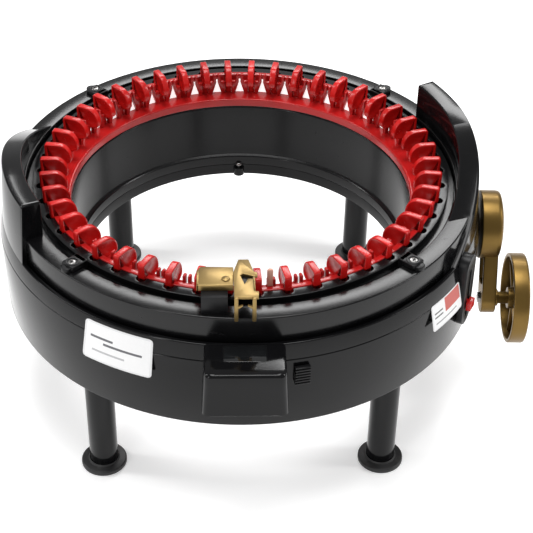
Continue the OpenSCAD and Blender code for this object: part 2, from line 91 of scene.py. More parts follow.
class BodySettings(bpy.types.PropertyGroup):
    """Sizes of the fixed body."""

    seam_radius: FloatProperty(name="Seam Radius", default=154.5 * MM, unit="LENGTH",
        description="Outer radius where the two shells meet")
    foot_radius: FloatProperty(name="Bottom Radius", default=153.8 * MM, unit="LENGTH",
        description="Outer radius at the bottom edge of the lower shell")
    rim_radius: FloatProperty(name="Rim Radius", default=152.2 * MM, unit="LENGTH",
        description="Outer radius at the open rim")
    roundness: FloatProperty(name="Edge Roundness", default=0.8 * MM, unit="LENGTH",
        description="Radius of the moulded edges")
    black: FloatVectorProperty(name="Black", subtype="COLOR", size=3,
        default=(0.0030, 0.0030, 0.0034), description="Colour of the black mouldings")


class NeedleSettings(bpy.types.PropertyGroup):
    """Sizes of the turning ring and its needles."""

    count: IntProperty(name="Needles", default=46, description="Needles round the ring")
    start: FloatProperty(name="First Needle", default=math.radians(179.72), unit="ROTATION",
        description="Angle of the first needle")
    thickness: FloatProperty(name="Thickness", default=4.1 * MM, unit="LENGTH",
        description="Thickness of a needle")
    red: FloatVectorProperty(name="Needle Red", subtype="COLOR", size=3,
        default=(0.50, 0.008, 0.007), description="Colour of the needles")
    comb_red: FloatVectorProperty(name="Comb Red", subtype="COLOR", size=3,
        default=(0.42, 0.011, 0.011), description="Colour of the comb ring")


class CrankSettings(bpy.types.PropertyGroup):
    """Sizes and colour of the crank and the yarn guide."""

    hub_radius: FloatProperty(name="Hub Radius", default=22.3 * MM, unit="LENGTH",
        description="Radius of the round crank hub")
    knob_radius: FloatProperty(name="Knob Radius", default=29.7 * MM, unit="LENGTH",
        description="Radius of the turning knob")
    gold: FloatVectorProperty(name="Crank Gold", subtype="COLOR", size=3,
        default=(0.185, 0.112, 0.028), description="Colour of the crank and knob")
    guide_gold: FloatVectorProperty(name="Guide Gold", subtype="COLOR", size=3,
        default=(0.33, 0.225, 0.085), description="Colour of the yarn guide")


class StageSettings(bpy.types.PropertyGroup):
    """Camera and light."""

    lens: FloatProperty(name="Lens", default=96.397, description="Focal length in mm")
    floor_glow: FloatProperty(name="Floor Glow", default=0.30,
        description="Light given off by the floor, as on a lit studio table")
    soft_light: FloatProperty(name="Soft Light", default=0.42,
        description="Brightness of the light that comes from all round")


# Shader values as expressions


class Wire:
    """One shader value. Arithmetic on it adds Math nodes."""

    def __init__(self, shade, socket):
        self.shade, self.socket = shade, socket

    def out(self, name):
        """Another output of the same node."""
        return Wire(self.shade, self.socket.node.outputs[name])

    def math(self, operation, *others):
        values = dict(enumerate((self,) + others))
        return self.shade.node("ShaderNodeMath", {"operation": operation}, values)

    def flipped(self, operation, other):
        return self.shade.node("ShaderNodeMath", {"operation": operation}, {0: other, 1: self})

    def __add__(self, other):
        return self.math("ADD", other)

    def __sub__(self, other):
        return self.math("SUBTRACT", other)

    def __rsub__(self, other):
        return self.flipped("SUBTRACT", other)

    def __mul__(self, other):
        return self.math("MULTIPLY", other)

    def __gt__(self, other):
        return self.math("GREATER_THAN", other)

    def __lt__(self, other):
        return self.math("LESS_THAN", other)

    def __abs__(self):
        return self.math("ABSOLUTE")

    __radd__ = __add__
    __rmul__ = __mul__

    def ramp(self, start, end):
        """The value carried smoothly from start..end to 0..1."""
        return self.shade.node("ShaderNodeMapRange", {"interpolation_type": "SMOOTHSTEP"},
            {"Value": self, "From Min": start, "From Max": end})


class Shade:
    """A material under construction."""

    def __init__(self, name):
        self.material = bpy.data.materials.new(name)
        self.material.use_nodes = True
        self.tree = self.material.node_tree
        self.tree.nodes.clear()

    def node(self, kind, settings=None, values=None):
        """Adds a node, sets its settings, then fills its sockets, and returns its output."""
        made = self.tree.nodes.new(kind)
        for key, value in (settings or {}).items():
            setattr(made, key, value)
        for key, value in (values or {}).items():
            if isinstance(value, Wire):
                self.tree.links.new(value.socket, made.inputs[key])
            else:
                made.inputs[key].default_value = value
        shown = [s for s in made.outputs if s.enabled]
        return Wire(self, shown[0]) if shown else made

    def place(self, stretch=(1, 1, 1)):
        """Object coordinates, stretched."""
        spot = self.node("ShaderNodeTexCoord").out("Object")
        return self.node("ShaderNodeMapping", {}, {"Vector": spot, "Scale": stretch})

    def noise(self, scale, detail=2.0, rough=0.5, stretch=(1, 1, 1)):
        return self.node("ShaderNodeTexNoise", {}, {"Vector": self.place(stretch),
            "Scale": scale, "Detail": detail, "Roughness": rough})

    def mix(self, share, first, second):
        """A colour between first and second."""
        made = self.tree.nodes.new("ShaderNodeMix")
        made.data_type = "RGBA"
        for index, value in ((0, share), (6, first), (7, second)):
            if isinstance(value, Wire):
                self.tree.links.new(value.socket, made.inputs[index])
            elif index == 0:
                made.inputs[index].default_value = value
            else:
                made.inputs[index].default_value = (*value[:3], 1)
        return Wire(self, made.outputs[2])

    def edges(self, radius):
        """1 on edges, 0 on flat ground, by how far a rounded normal leans from the real one."""
        soft = self.node("ShaderNodeBevel", {"samples": 4}, {"Radius": radius})
        hard = self.node("ShaderNodeNewGeometry").out("Normal")
        lean = self.node("ShaderNodeVectorMath", {"operation": "DOT_PRODUCT"}, {0: soft, 1: hard})
        return (1 - lean.out("Value")).ramp(0.02, 0.25)

    def finish(self, colour, rough, height=None, strength=0.2, distance=0.0002, **fixed):
        """Principled surface; height feeds a bump."""
        values = {"Base Color": colour, "Roughness": rough}
        if height is not None:
            values["Normal"] = self.node("ShaderNodeBump", {}, {"Strength": strength,
                "Distance": distance, "Height": height})
        for key, value in fixed.items():
            values[key.replace("_", " ")] = value
        for key in ("Base Color", "Emission Color", "Coat Tint"):
            if key in values and not isinstance(values[key], Wire):
                values[key] = (*values[key][:3], 1)
        surface = self.node("ShaderNodeBsdfPrincipled", {}, values)
        self.node("ShaderNodeOutputMaterial", {}, {"Surface": surface})
        return self.material


def plastic(name, colour, rough, wear=0.05, grain=1400.0, bump=0.10, **fixed):
    """Injection-moulded plastic: slight flow marks, fine grain, hairline scuffs, rubbed edges."""
    shade = Shade(name)
    flow = shade.noise(26.0, 3.0)
    fine = shade.noise(grain, 2.0)
    scuff = shade.noise(60.0, 4.0, 0.7, (1, 9, 3)).ramp(0.60, 0.72)
    rub = shade.edges(0.0006) * wear
    darker = tuple(c * 0.86 for c in colour)
    lighter = tuple(min(1.0, c * 1.14 + 0.0006) for c in colour)
    tone = shade.mix(flow.ramp(0.35, 0.65), darker, lighter)
    tone = shade.mix(rub + scuff * wear * 0.12, tone, tuple(c * 0.4 + 0.35 for c in colour))
    gloss = flow * 0.05 + scuff * 0.07 + rub * 0.5 + (rough - 0.03)
    return shade.finish(tone, gloss, fine + scuff * 0.6, bump, 0.00004, **fixed)


def gold_paint(name, colour, rough, along=(1, 1, 1)):
    """Metallic gold: flake sparkle, drawn grain, random darker patches and lighter, glossier
    edges.
    """
    shade = Shade(name)
    flow = shade.noise(45.0, 3.0)
    flake = shade.noise(5200.0, 1.0)
    drawn = shade.noise(900.0, 3.0, 0.6, along)
    rub = shade.edges(0.0007)
    tone = shade.mix(flow.ramp(0.3, 0.7), tuple(c * 0.82 for c in colour), colour)
    tone = shade.mix(rub * 0.35, tone, tuple(min(1, c * 1.7) for c in colour))
    gloss = flow * 0.10 + flake * 0.08 + drawn * 0.08 + (rough - 0.13) - rub * 0.05
    return shade.finish(tone, gloss, flake * 0.4 + drawn, 0.16, 0.00005, Metallic=0.85)


def metal(name, colour, rough):
    """Plated steel or turned brass with fine tool marks."""
    shade = Shade(name)
    tarnish = shade.noise(300.0, 4.0)
    lathe_marks = shade.noise(3000.0, 2.0, 0.5, (1, 1, 6))
    tone = shade.mix(tarnish.ramp(0.4, 0.7), colour, tuple(c * 0.7 for c in colour))
    return shade.finish(tone, tarnish * 0.15 + lathe_marks * 0.1 + rough, lathe_marks, 0.2,
        0.00004, Metallic=1.0)


def rubber(name):
    """Soft matt black with pale dust."""
    shade = Shade(name)
    dust = shade.noise(150.0, 5.0, 0.65)
    tone = shade.mix(dust.ramp(0.5, 0.75), (0.009, 0.009, 0.0095), (0.028, 0.027, 0.026))
    return shade.finish(tone, dust * 0.2 + 0.38, dust, 0.3, 0.0001)


def board(name):
    """Circuit board lacquer with copper tracks showing through."""
    shade = Shade(name)
    tracks = shade.node("ShaderNodeTexBrick", {}, {"Vector": shade.place(), "Scale": 260.0,
        "Color1": (0.01, 0.11, 0.04, 1), "Color2": (0.012, 0.14, 0.05, 1),
        "Mortar": (0.05, 0.25, 0.09, 1), "Mortar Size": 0.03})
    grime = shade.noise(200.0, 3.0)
    tone = shade.mix(grime * 0.2, tracks, (0.02, 0.07, 0.03))
    return shade.finish(tone, grime * 0.2 + 0.3, grime, 0.2)


def display(name):
    """Grey liquid crystal glass with a faint row of dark segments."""
    shade = Shade(name)
    spot = shade.node("ShaderNodeSeparateXYZ", {}, {0: shade.place()})
    cell = (spot.out("X") * 260.0).math("FRACT")
    row = spot.out("Y") + 0.160
    bars = (abs(cell - 0.5) < 0.30) * (abs(row) < 0.0034) * (1 - (abs(cell - 0.5) < 0.16)
        * (abs(abs(row) - 0.0016) < 0.0009))
    haze = shade.noise(120.0, 3.0)
    tone = shade.mix(haze * 0.3, (0.16, 0.19, 0.15), (0.10, 0.12, 0.10))
    tone = shade.mix(bars * 0.75, tone, (0.02, 0.025, 0.02))
    return shade.finish(tone, haze * 0.1 + 0.2, haze, 0.1)


def smoked_glass(name):
    """Dark glossy window over the display."""
    shade = Shade(name)
    smear = shade.noise(70.0, 5.0, 0.6, (1, 3, 1))
    tone = shade.mix(smear.ramp(0.45, 0.8), (0.006, 0.0065, 0.007), (0.014, 0.015, 0.016))
    return shade.finish(tone, smear * 0.08 + 0.04, smear, 0.04, 0.00003, Coat_Weight=0.6,
        Coat_Roughness=0.04)


def label_film(name, marks):
    """White film. marks is a list of (left, right, bottom, top, colour) on the label's UV map."""
    shade = Shade(name)
    uv = shade.node("ShaderNodeUVMap", {"uv_map": "label"})
    spot = shade.node("ShaderNodeSeparateXYZ", {}, {0: uv})
    across, up = spot.out("X"), spot.out("Y")
    paper = shade.noise(500.0, 4.0)
    tone = shade.mix(paper * 0.25, (0.80, 0.80, 0.80), (0.66, 0.66, 0.67))
    for left, right, bottom, top, colour in marks:
        inside = (across > left) * (across < right) * (up > bottom) * (up < top)
        tone = shade.mix(inside, tone, colour)
    frame_line = 1 - (across > 0.03) * (across < 0.97) * (up > 0.045) * (up < 0.955)
    tone = shade.mix(frame_line * 0.25, tone, (0.35, 0.35, 0.36))
    return shade.finish(tone, paper * 0.15 + 0.28, paper, 0.08, 0.00003)


FINISH = {}


def make_finishes(body, needle, crank):
    """All finishes, once the settings are known."""
    black = tuple(body.black)
    dark, grey, ink = (0.10, 0.10, 0.11), (0.42, 0.42, 0.43), (0.12, 0.12, 0.12)
    FINISH.update({
        "black_gloss": plastic("moulded gloss black", black, 0.13, 0.04,
            Specular_IOR_Level=0.22),
        "inner_black": plastic("moulded inner black", black, 0.22, 0.03,
            Specular_IOR_Level=0.25),
        "cover_black": plastic("moulded cover black", black, 0.22, 0.05, 900.0, 0.15,
            Specular_IOR_Level=0.3),
        "black_matte": plastic("fine matt black", tuple(c * 1.5 for c in black), 0.36, 0.04,
            2200.0, 0.35, Specular_IOR_Level=0.25),
        "foot_rubber": rubber("foot rubber"),
        "steel": metal("zinc plated steel", (0.38, 0.37, 0.36), 0.14),
        "bush_brass": metal("turned brass", (0.70, 0.50, 0.20), 0.20),
        "gear_plastic": plastic("natural gear plastic", (0.62, 0.60, 0.54), 0.40, 0.02, 1800.0),
        "comb_red": plastic("comb red", tuple(needle.comb_red), 0.22, 0.04,
            Specular_IOR_Level=0.4),
        "needle_red": plastic("needle red", tuple(needle.red), 0.24, 0.05,
            Specular_IOR_Level=0.35),
        "lever_red": plastic("lever red", (0.45, 0.010, 0.010), 0.22, 0.05,
            Specular_IOR_Level=0.35),
        # Emission makes the stitch white glow: painted light that keeps the white strips bright
        # where they sit in shade
        "white_plastic": plastic("glowing stitch white", (0.90, 0.90, 0.89), 0.30, 0.0, 1200.0, 0.05,
            Emission_Color=(1, 1, 1), Emission_Strength=0.8),
        "marker_peach": plastic("marker peach", (0.78, 0.42, 0.32), 0.35, 0.02),
        "guide_gold": gold_paint("guide gold", tuple(crank.guide_gold), 0.36, (1, 12, 1)),
        "crank_gold": gold_paint("crank gold", tuple(crank.gold), 0.36),
        "lens": smoked_glass("smoked window"),
        "display": display("display glass"),
        "board_green": board("circuit board"),
        "label_white": label_film("front label film", [(0.10, 0.44, 0.60, 0.66, dark),
            (0.30, 0.86, 0.47, 0.53, dark), (0.14, 0.62, 0.25, 0.30, grey)]),
        "rating_film": label_film("rating label film", [
            (0.42, 0.96, 0.42, 0.96, (0.50, 0.07, 0.05)), (0.08, 0.34, 0.60, 0.66, ink),
            (0.08, 0.34, 0.44, 0.50, ink), (0.10, 0.80, 0.20, 0.25, (0.25, 0.25, 0.25))]),
    })


# Mesh helpers. Lengths in mm, turned to metres when the piece is made.


def round_corners(points, radius, steps=3):
    """The closed outline with each corner rounded by up to radius."""
    done = []
    count = len(points)
    for i, point in enumerate(points):
        here = Vector(point[:2])
        size = point[2] if len(point) > 2 else radius
        back = Vector(points[i - 1][:2]) - here
        on = Vector(points[(i + 1) % count][:2]) - here
        turn = back.angle(on, math.pi)
        if size <= 0 or turn > math.radians(172):
            done.append(tuple(here))
            continue
        reach = min(size / math.tan(turn / 2), back.length * 0.45, on.length * 0.45)
        start, end = here + back.normalized() * reach, here + on.normalized() * reach
        for k in range(steps + 1):
            t = k / steps
            spot = start * (1 - t) ** 2 + here * 2 * t * (1 - t) + end * t ** 2
            done.append(tuple(spot))
    return done


def arc(x, y, width, height, start, end, steps):
    """Points on an ellipse about (x, y), from start to end degrees."""
    turns = [math.radians(start + (end - start) * k / steps) for k in range(steps + 1)]
    return [(x + width * math.cos(t), y + height * math.sin(t)) for t in turns]


def loft(mesh, sections, closed=False):
    """Skins a list of rings of points; the ends are capped unless the loft closes on itself."""
    rings = [[mesh.verts.new(p) for p in section] for section in sections]
    pairs = list(zip(rings, rings[1:])) + ([(rings[-1], rings[0])] if closed else [])
    for one, two in pairs:
        for i in range(len(one)):
            j = (i + 1) % len(one)
            mesh.faces.new((one[i], one[j], two[j], two[i]))
    if not closed:
        mesh.faces.new(rings[0])
        mesh.faces.new(rings[-1][::-1])
    return mesh


def lathe(outline, segments=192, start=0.0, sweep=360.0, mesh=None):
    """Turns an (r, z) outline round Z. Outlines that touch the axis are kept a hair off it."""
    mesh = mesh or bmesh.new()
    full = abs(sweep) >= 360
    count = segments if full else segments + 1
    sections = []
    for i in range(count):
        a = math.radians(start + sweep * i / segments)
        sections.append([(max(r, 0.02) * math.cos(a), max(r, 0.02) * math.sin(a), z)
            for r, z in outline])
    return loft(mesh, sections, full)


def slab(outline, z0, z1, bevel=0.4, mesh=None, steps=2):
    """An outline in X and Y raised from z0 to z1, all its edges rounded."""
    part = bmesh.new()
    loft(part, [[(x, y, z) for x, y in outline] for z in (z0, z1)])
    soften(part, bevel, steps)
    return part if mesh is None else add(mesh, part)


def soften(mesh, bevel, steps=2, angle=25):
    """Bevels each edge sharper than the angle."""
    bmesh.ops.recalc_face_normals(mesh, faces=mesh.faces)
    if bevel > 0:
        sharp = [e for e in mesh.edges if len(e.link_faces) == 2
            and e.calc_face_angle(0) > math.radians(angle)]
        bmesh.ops.bevel(mesh, geom=sharp, offset=bevel, segments=steps, profile=0.5,
            affect="EDGES", clamp_overlap=True)
    return mesh


def add(mesh, part, matrix=None):
    """Copies part into mesh, placed by matrix."""
    if matrix is not None:
        part.transform(matrix)
    spare = bpy.data.meshes.new("spare")
    part.to_mesh(spare)
    part.free()
    mesh.from_mesh(spare)
    bpy.data.meshes.remove(spare)
    return mesh


def box(x0, y0, z0, x1, y1, z1, bevel=0.4, mesh=None, steps=2):
    return slab([(x0, y0), (x1, y0), (x1, y1), (x0, y1)], z0, z1, bevel, mesh, steps)


def carve(mesh, cutter):
    """The mesh with the cutter's volume taken away."""
    body, tool = (make(name, part, "steel", "base", ride=False)
        for name, part in (("carved", mesh), ("cutter", cutter)))
    cut = body.modifiers.new("Carve", "BOOLEAN")
    cut.object, cut.operation, cut.solver, cut.use_self = tool, "DIFFERENCE", "EXACT", True
    seen = body.evaluated_get(bpy.context.evaluated_depsgraph_get())
    done = bmesh.new()
    done.from_mesh(seen.to_mesh())
    for spare in (body, tool):
        bpy.data.objects.remove(spare)
    done.transform(Matrix.Scale(1 / MM, 4))
    return done


def turn(axis, degrees):
    return Matrix.Rotation(math.radians(degrees), 4, axis)


def shift(x, y, z):
    return Matrix.Translation((x, y, z))


# Turns the lathe's Z axis to point along +X
ALONG_X = turn("Y", 90)


def make(name, mesh, finish, body, replaces=(), angle=35, ride=True):
    """Turns a mesh in mm into a finished piece of the object."""
    bmesh.ops.remove_doubles(mesh, verts=mesh.verts, dist=0.0005)
    bmesh.ops.recalc_face_normals(mesh, faces=mesh.faces)
    mesh.transform(Matrix.Scale(MM, 4))
    data = bpy.data.meshes.new(name)
    mesh.to_mesh(data)
    mesh.free()
    piece = bpy.data.objects.new(name, data)
    bpy.context.scene.collection.objects.link(piece)
    data.materials.append(FINISH[finish])
    data.shade_smooth()
    data.set_sharp_from_angle(angle=math.radians(angle))
    return settle(piece, body, replaces) if ride else piece


def settle(piece, body, replaces=()):
    """Joins a piece to its body and hides the CAD nodes that it stands for."""
    if replaces:
        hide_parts(*replaces)
    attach(piece, body)
    return piece


def polished(node, name, finish, body, bevel, steps=2):
    """A merged copy of a CAD node with its sharp edges rounded."""
    mesh = bmesh.new()
    mesh.from_mesh(frame["nodes"][node].data)
    mesh.transform(Matrix.Scale(1 / MM, 4))
    bmesh.ops.remove_doubles(mesh, verts=mesh.verts, dist=0.002)
    bmesh.ops.dissolve_limit(mesh, angle_limit=math.radians(0.5), verts=mesh.verts,
        edges=mesh.edges)
    soften(mesh, bevel, steps, 30)
    return make(name, mesh, finish, body, (node,))


# Geometry Nodes: copies round the Z axis


def circle_tree():
    """Copies of the base mesh round Z: Count of them, Step apart from Start, without a gap
    of Skipped copies that begins at First Skipped."""
    tree = bpy.data.node_groups.new("Copies Round Axis", "GeometryNodeTree")
    tree.is_modifier = True
    face = tree.interface
    face.new_socket(name="Geometry", in_out="INPUT", socket_type="NodeSocketGeometry")
    for name, kind in (("Count", "Int"), ("Start", "Float"), ("Step", "Float"),
            ("First Skipped", "Int"), ("Skipped", "Int"), ("Finish", "Material")):
        face.new_socket(name=name, in_out="INPUT", socket_type="NodeSocket" + kind)
    face.new_socket(name="Geometry", in_out="OUTPUT", socket_type="NodeSocketGeometry")

    def node(kind, links, **settings):
        """Adds a node, sets it up, links sockets into it and returns its outputs."""
        made = tree.nodes.new(kind)
        for key, value in settings.items():
            setattr(made, key, value)
        for place, socket in links.items():
            tree.links.new(socket, made.inputs[place])
        return made.outputs

    given = node("NodeGroupInput", {})
    points = node("GeometryNodePoints", {"Count": given["Count"]})
    index = node("GeometryNodeInputIndex", {})
    angle = node("ShaderNodeMath", {0: index[0], 1: given["Step"], 2: given["Start"]},
        operation="MULTIPLY_ADD")
    lean = node("ShaderNodeCombineXYZ", {"Z": angle[0]})
    rotation = node("FunctionNodeEulerToRotation", {0: lean[0]})
    first, skipped = given["First Skipped"], given["Skipped"]
    before = node("FunctionNodeCompare", {2: index[0], 3: first}, data_type="INT",
        operation="LESS_THAN")
    last = node("ShaderNodeMath", {0: first, 1: skipped}, operation="ADD")
    after = node("FunctionNodeCompare", {2: index[0], 3: last[0]}, data_type="INT",
        operation="GREATER_EQUAL")
    kept = node("FunctionNodeBooleanMath", {0: before[0], 1: after[0]}, operation="OR")
    placed = node("GeometryNodeInstanceOnPoints", {"Points": points[0], "Selection": kept[0],
        "Instance": given["Geometry"], "Rotation": rotation[0]})
    real = node("GeometryNodeRealizeInstances", {0: placed[0]})
    painted = node("GeometryNodeSetMaterial", {"Geometry": real[0], "Material": given["Finish"]})
    node("NodeGroupOutput", {0: painted[0]})
    return tree


def copies(piece, finish, count, start, step, first=0, skipped=0):
    """Repeats a piece round Z with the tree above and bakes it to a plain mesh."""
    tree = bpy.data.node_groups.get("Copies Round Axis") or circle_tree()
    layer = piece.modifiers.new("Copies", "NODES")
    layer.node_group = tree
    values = {"Count": count, "Start": math.radians(start), "Step": math.radians(step),
        "First Skipped": first, "Skipped": skipped, "Finish": FINISH[finish]}
    for item in tree.interface.items_tree:
        if item.in_out == "INPUT" and item.name in values:
            layer[item.identifier] = values[item.name]
    seen = piece.evaluated_get(bpy.context.evaluated_depsgraph_get())
    data = bpy.data.meshes.new_from_object(seen)
    piece.modifiers.clear()
    piece.data = data
    return piece


def repeated(name, mesh, finish, body, replaces, count, start, step, angle=35, first=0,
        skipped=0):
    """A piece made of equal copies round Z."""
    piece = make(name, mesh, finish, body, angle=angle, ride=False)
    copies(piece, finish, count, start, step, first, skipped)
    return settle(piece, body, replaces)


# Body


class KM_OT_shells(bpy.types.Operator):
    """Builds the lower and upper shells with their two guards"""

    bl_idname = "knitting.shells"
    bl_label = "Shells"

    def execute(self, context):
        size = context.scene.km_body
        foot, seam, rim = (v / MM for v in (size.foot_radius, size.seam_radius, size.rim_radius))
        edge = size.roundness / MM
        bottom = low("lower_shell", 2)
        mesh = lathe(round_corners([(105.3, 77, 0.3), (148, 77, 0.2), (foot - 2.5, 76.4, 0.4),
            (foot - 2.5, bottom, 0.5), (foot, bottom, edge), (seam, SEAM_Z, 0.7),
            (seam - 2.4, SEAM_Z, 0.2), (foot - 2.4, 79.5, 0.3), (107.5, 79.5, 0.2),
            (107.5, 85, 0.2), (105.3, 85, 0.4)], 0.3), 256)
        for k in range(4):
            post = lathe(round_corners([(0, 77, 0), (3.9, 77, 0.7), (3.9, 83, 0.2), (0, 83, 0)],
                0.4), 32)
            add(mesh, post, turn("Z", 90 * k) @ shift(105.2, 0, 0))
        make("lower_body", mesh, "black_gloss", "base", ("lower_shell",))
        mesh = lathe(round_corners([(seam - 2.5, SEAM_Z, 0.2), (seam, SEAM_Z, 0.7),
            (rim, RIM_Z, edge), (149.3, RIM_Z, edge), (149.3, 125.5, 0.2), (140, 125.5, 0.2),
            (140, 123.3, 0.2), (rim - 2.1, 123.3, 0.3)], 0.3), 256)
        for side in (0, 180):
            self.guard(mesh, side, rim, edge)
        make("upper_body", mesh, "black_gloss", "base", ("upper_shell",), angle=32)
        return {"FINISHED"}

    def guard(self, mesh, side, rim, edge):
        """One high guard: a wall whose top falls along an arc."""
        end, fall, curve = 29.6, 16.5, 177.0
        inner_r, round_r = 137, min(edge, 1.0)

        def top(r, degrees):
            y = r * math.sin(math.radians(degrees - fall))
            return GUARD_Z if y >= 0 else -5 + math.sqrt(curve ** 2 - y ** 2)

        def outer(z):
            return rim + (149 - rim) * (z - RIM_Z) / (GUARD_Z + 1 - RIM_Z)

        # Angle and inset of each section: the first three round the end of the wall
        stations = [(end, 0.7), (end - 0.12, 0.25), (end - 0.35, 0)]
        stations += [(end - 1 - k, 0) for k in range(66)]
        sections = []
        for degrees, inset in stations:
            inner_z = max(top(inner_r, degrees), COVER_Z - 0.3) - inset
            cover_end = max(top(148.4, degrees), COVER_Z - 0.3) - inset
            outer_z = max(top(149.6, degrees), RIM_Z - 3) - inset
            wall_in = 148.3 if outer_z > COVER_Z - 0.2 else 149.4
            r_out = outer(max(outer_z, RIM_Z - 2)) - inset * 0.5
            r_in = inner_r + inset * 0.5
            outline = [(r_in, COVER_Z - 0.6), (148.2, COVER_Z - 0.6), (149.4, RIM_Z - 4),
                (rim + 0.25, RIM_Z - 4), (outer(RIM_Z), RIM_Z - 0.5),
                (outer(outer_z - round_r) - inset * 0.5, outer_z - round_r),
                (r_out - 0.3, outer_z - 0.3), (r_out - round_r, outer_z),
                (wall_in + 0.2, outer_z), (wall_in, min(cover_end, outer_z)),
                (r_in + round_r, inner_z), (r_in + 0.3, inner_z - 0.3),
                (r_in, inner_z - round_r)]
            a = math.radians(degrees + side)
            sections.append([(r * math.cos(a), r * math.sin(a), z) for r, z in outline])
        part = bmesh.new()
        loft(part, sections)
        add(mesh, part)


class KM_OT_cover(bpy.types.Operator):
    """Builds the flat top cover, the inner tube and the clips with their screws"""

    bl_idname = "knitting.cover"
    bl_label = "Cover and Tube"

    def execute(self, context):
        mesh = lathe(round_corners([(132.6, 139, 0.2), (138.7, 139, 0.2), (138.7, 145.8, 0.2),
            (146.2, 145.8, 0.2), (146.2, 125.5, 0.2), (148.2, 125.5, 0.2), (148.2, COVER_Z, 0.9),
            (136.5, COVER_Z, 0.5), (136.5, 141.2, 0.2), (132.6, 141.2, 0.3)], 0.3), 256)
        make("cover", mesh, "cover_black", "base", ("top_cover",))
        mesh = lathe(round_corners([(105.3, 85.05, 0.3), (110.6, 85.05, 0.2), (110.6, 91.5, 0),
            (116, 91.5, 0.2), (116, 94.5, 0.2), (110.7, 94.5, 0), (110.7, 131, 0.5),
            (108.5, 131, 0.8), (107.6, 92.6, 0.3), (105.9, 92, 0.3), (105.3, 91.2, 0.2)], 0.3),
            224)
        make("tube", mesh, "inner_black", "base", ("inner_tube",))
        mesh = box(132.6, -4.8, 144.9, 136.2, 4.8, COVER_Z + 3.4, 0.5)
        box(132.6, -4.8, COVER_Z, 144.4, 4.8, COVER_Z + 3.4, 0.6, mesh, 3)
        ring = lathe(round_corners([(2.9, COVER_Z + 3.2, 0), (2.9, COVER_Z + 3.9, 0.2),
            (4.1, COVER_Z + 3.9, 0.3), (4.5, COVER_Z + 3.2, 0)], 0.2), 32)
        add(mesh, ring, shift(140.2, 0, 0))
        toe = lathe(round_corners([(0, COVER_Z, 0), (3.4, COVER_Z, 0), (3.4, COVER_Z + 2.4, 0.6),
            (0, COVER_Z + 2.4, 0)], 0.4), 40)
        add(mesh, toe, shift(144.6, 0, 0))
        repeated("hold_down_clips", mesh, "black_matte", "base", ("ring_clips",), 4, 45, 90)
        repeated("clip_screw_heads", self.screw(140.6, COVER_Z + 2.3, 2.7), "steel", "base",
            ("clip_screws",), 4, 45, 90)
        repeated("tube_screw_heads", self.screw(105.2, 85.1, 2.3), "steel", "base",
            ("inner_screws",), 4, 0, 90)
        return {"FINISHED"}

    def screw(self, radius, z, head):
        """A pan head with a cross recess, on a short shank."""
        mesh = lathe(round_corners([(0, -6.4, 0), (1.25, -6.4, 0.3), (1.25, 0, 0), (head, 0, 0.2),
            (head, 0.5, 0.2), (head * 0.8, 1.5, 0.5), (0, 1.75, 0)], 0.3, 4), 40)
        cross = bmesh.new()
        for quarter in (0, 90):
            arm = box(-head * 0.55, -0.38, 0.8, head * 0.55, 0.38, 3, 0)
            add(cross, arm, turn("Z", quarter + 20))
        mesh = carve(mesh, cross)
        mesh.transform(shift(radius, 0, z))
        return mesh


class KM_OT_legs(bpy.types.Operator):
    """Builds the four legs and their foot pads"""

    bl_idname = "knitting.legs"
    bl_label = "Legs"

    def execute(self, context):
        leg = round_corners([(0, 3, 0), (8.9, 3, 0.3), (8.9, 77, 0.3), (7.45, 77, 0.2),
            (7.45, 88.8, 0.5), (0, 88.8, 0)], 0.4)
        foot = round_corners([(0, 1.2, 0), (6, 1.2, 0.5), (10.5, 0, 0.5), (14.3, 0, 0.9),
            (14.3, 3.2, 1.2), (9.8, 3.9, 0.8), (9.1, 5.2, 0.3), (8.95, 3.2, 0), (0, 3.2, 0)],
            0.4, 4)
        for fb, y in (("front", -1), ("back", 1)):
            for lr, x in (("left", -1), ("right", 1)):
                node = f"leg_{fb}_{lr}"
                where = shift((low(node, 0) + high(node, 0)) / 2,
                    (low(node, 1) + high(node, 1)) / 2, 0)
                mesh = add(bmesh.new(), lathe(leg, 56), where)
                make(f"leg_{fb}_{lr}_tube", mesh, "black_gloss", "base", (node,))
                mesh = add(bmesh.new(), lathe(foot, 56), where)
                make(f"foot_{fb}_{lr}_pad", mesh, "foot_rubber", "base", (f"foot_{fb}_{lr}",))
        return {"FINISHED"}


# Turning ring


def needle_outline():
    """Side view of a needle as (r, z): hook head above, stem below."""
    top, back, corner, shoulder = high("needles", 2), 127, 1.5, 148.6
    # The last point only aims the corner before it
    outline = round_corners([(119.3, 104, 0.3), (122.5, 104, 0.3), (122.5, 146.6, 0.6),
        (back, shoulder, 1.4), (back, top, 0)], 0.5, 5)[:-1]
    outline += arc(back - corner, top - corner, corner, corner, 0, 90, 5)
    outline += arc(117.8, shoulder, 8, top - shoulder, 90, 180, 14)
    return outline + [(109.9, 147.4), (110.5, 146.4), (111.6, 145.6), (113, 145), (116, 144.3),
        (119.3, 143.6)]


